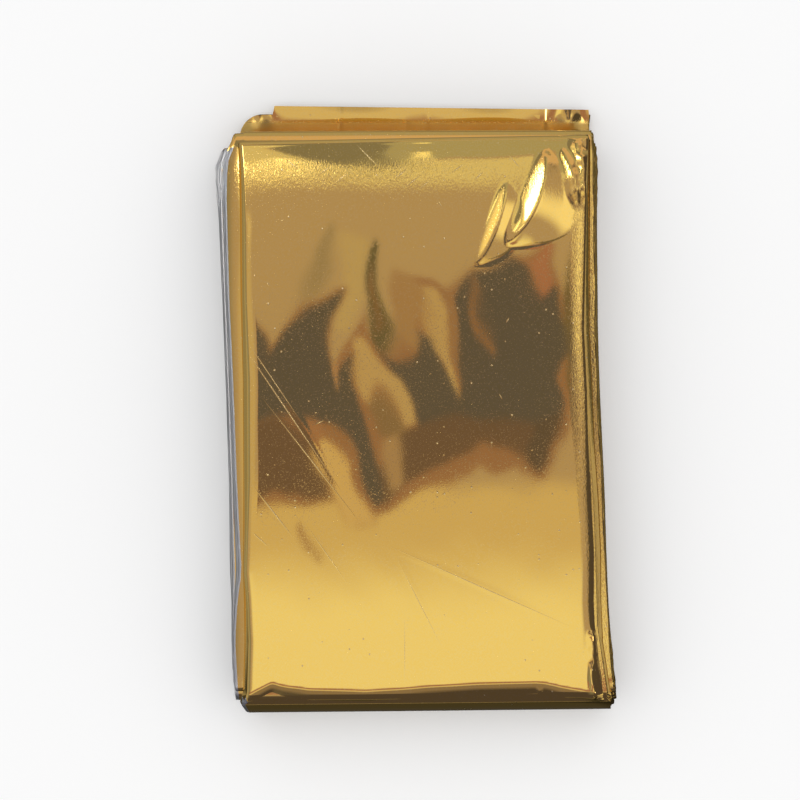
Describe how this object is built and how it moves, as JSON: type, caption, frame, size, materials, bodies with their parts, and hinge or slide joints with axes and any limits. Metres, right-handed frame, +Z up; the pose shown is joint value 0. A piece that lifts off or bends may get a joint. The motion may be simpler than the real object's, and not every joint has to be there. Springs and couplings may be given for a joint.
{
  "type": "folded emergency foil blanket",
  "caption": "Emergency foil blanket folded to a flat pocket-size pack: gold mirror film laid back and forth, wrapped round its closed end, with a flap standing out at the open end.",
  "frame": {"origin": "on the ground, under the middle of the folded pack's box", "axes": "+X across the pack to the right as seen from above, +Y along the pack from its closed, wrapped end to its open end, +Z up out of the front panel"},
  "size_m": [0.0842, 0.1302, 0.017],
  "materials": {
    "gold_film": "glossy gold mirror film with fine creases and scratches, silver on its other side"
  },
  "bodies": {
    "root": {"foil_blanket": "gold_film"}
  },
  "joints": []
}
